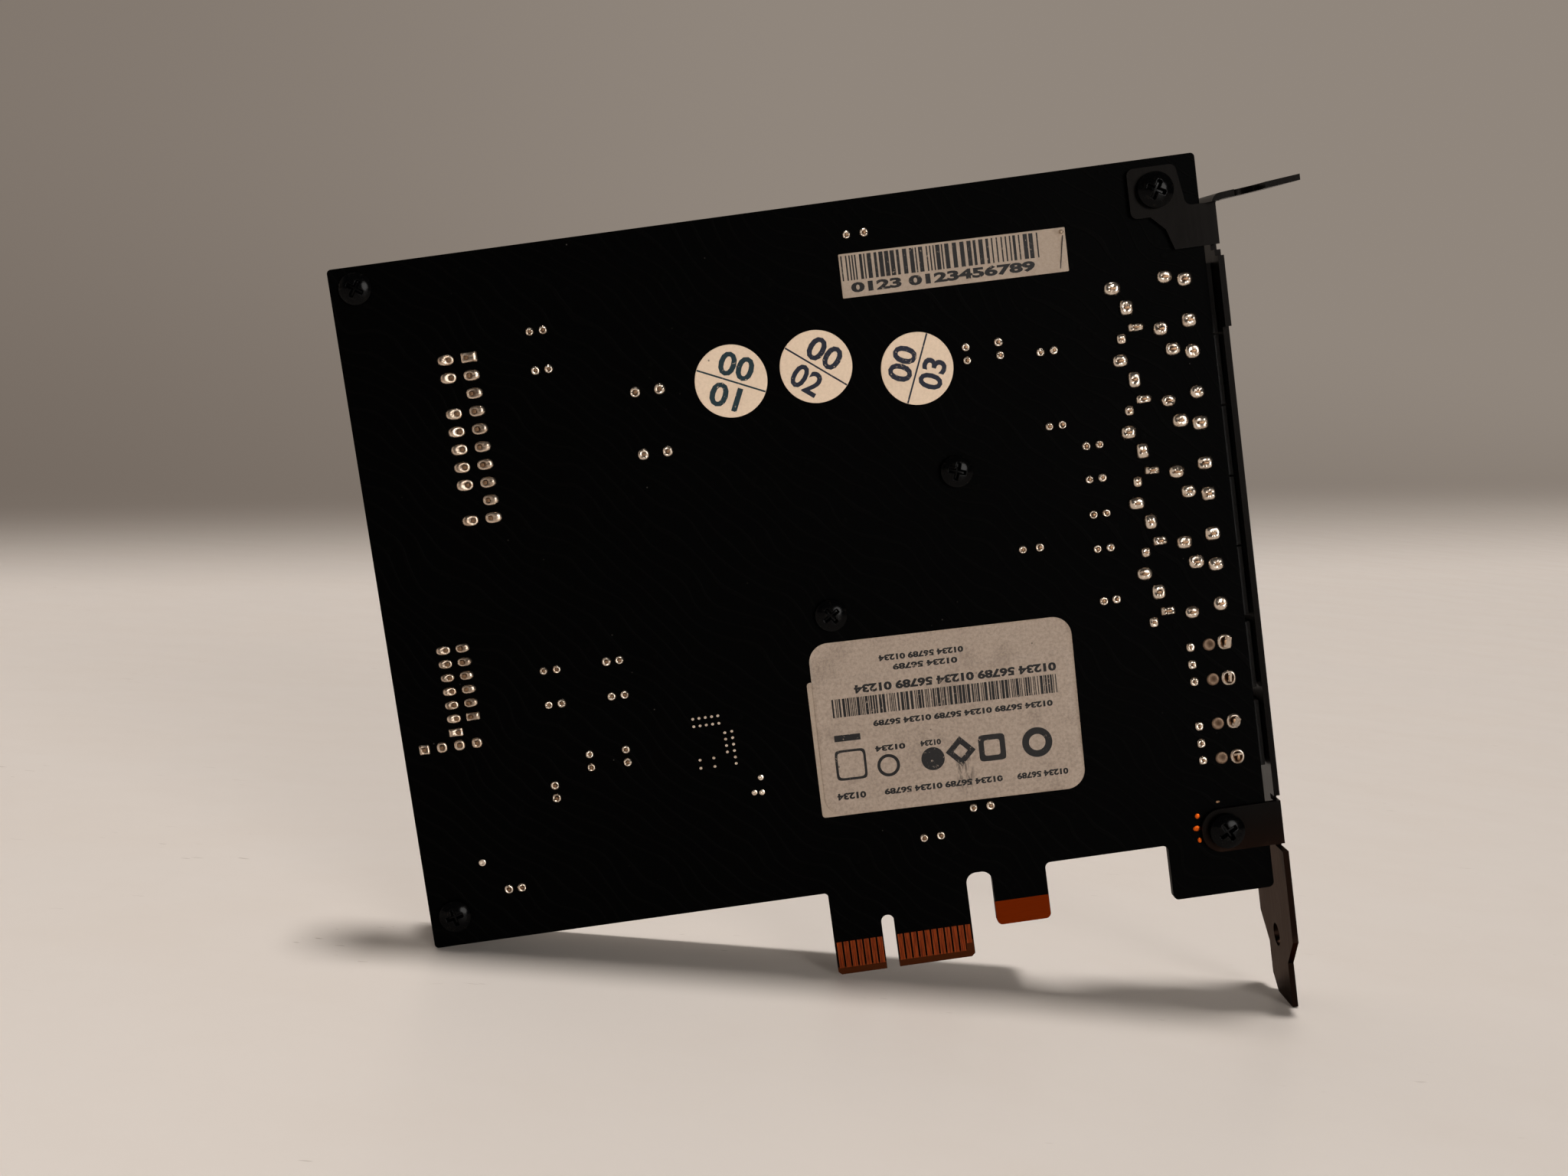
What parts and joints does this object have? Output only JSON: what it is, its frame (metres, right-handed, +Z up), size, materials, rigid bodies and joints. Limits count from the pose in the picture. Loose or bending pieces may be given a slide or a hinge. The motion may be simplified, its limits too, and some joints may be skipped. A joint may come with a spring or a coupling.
{
  "type": "sound card",
  "caption": "Full-height sound card for a one-lane slot: black board with solder joints and labels behind, folded bracket, audio jacks, optical sockets, pin headers and a sheet shield.",
  "frame": {"origin": "middle of the key notch, on the card's contact edge, half-way through the board", "axes": "+X along the card towards the bracket, +Y from the solder side to the component side, +Z up out of the slot"},
  "size_m": [0.1367, 0.0184, 0.1262],
  "materials": {
    "laminate": "satin solder mask",
    "gold_contact": "plated",
    "bracket_metal": "dark plated",
    "black_steel": "black",
    "plain_steel": "bright",
    "shield_paint": "matt black",
    "socket_plastic": "matt",
    "spring_metal": "plated",
    "optical_resin": "clear dark red",
    "pin_metal": "plated",
    "can_metal": "bare top, dark sleeve",
    "chip_resin": "matt",
    "crystal_metal": "bright",
    "chip_ceramic": "matt",
    "solder": "bright",
    "label_paper": "matt",
    "label_foil": "silver grey",
    "sticker_paper": "silver grey"
  },
  "bodies": {
    "root": {"amplifier_chips": "chip_resin", "audio_processor": "chip_resin", "aux_header_pins": "pin_metal", "aux_header_strip": "socket_plastic", "bracket": "bracket_metal", "bracket_nuts": "plain_steel", "bracket_screws": "black_steel", "capacitor_solder_joints": "solder", "chip_resistors": "chip_ceramic", "circuit_board": "laminate", "converter_chip": "chip_resin", "covered_capacitors": "can_metal", "crystal": "crystal_metal", "data_label": "label_foil", "digital_header_pins": "pin_metal", "digital_header_strip": "socket_plastic", "header_solder_joints": "solder", "jack_1_housing": "socket_plastic", "jack_1_terminals": "spring_metal", "jack_2_housing": "socket_plastic", "jack_2_terminals": "spring_metal", "jack_3_housing": "socket_plastic", "jack_3_terminals": "spring_metal", "jack_4_housing": "socket_plastic", "jack_4_terminals": "spring_metal", "jack_5_housing": "socket_plastic", "jack_5_terminals": "spring_metal", "jack_solder_joints": "solder", "medium_capacitors": "can_metal", "memory_chip": "chip_resin", "optical_1_housing": "socket_plastic", "optical_1_leads": "spring_metal", "optical_1_module": "optical_resin", "optical_2_housing": "socket_plastic", "optical_2_leads": "spring_metal", "optical_2_module": "optical_resin", "optical_solder_joints": "solder", "panel_header_pins": "pin_metal", "panel_header_strip": "socket_plastic", "part_side_contacts": "gold_contact", "regulators": "chip_resin", "round_stickers": "sticker_paper", "shield_cover": "shield_paint", "shield_screws": "black_steel", "shield_standoffs": "plain_steel", "small_capacitors": "can_metal", "solder_side_contacts": "gold_contact", "strip_label": "label_paper", "under_label": "label_paper"}
  },
  "joints": []
}
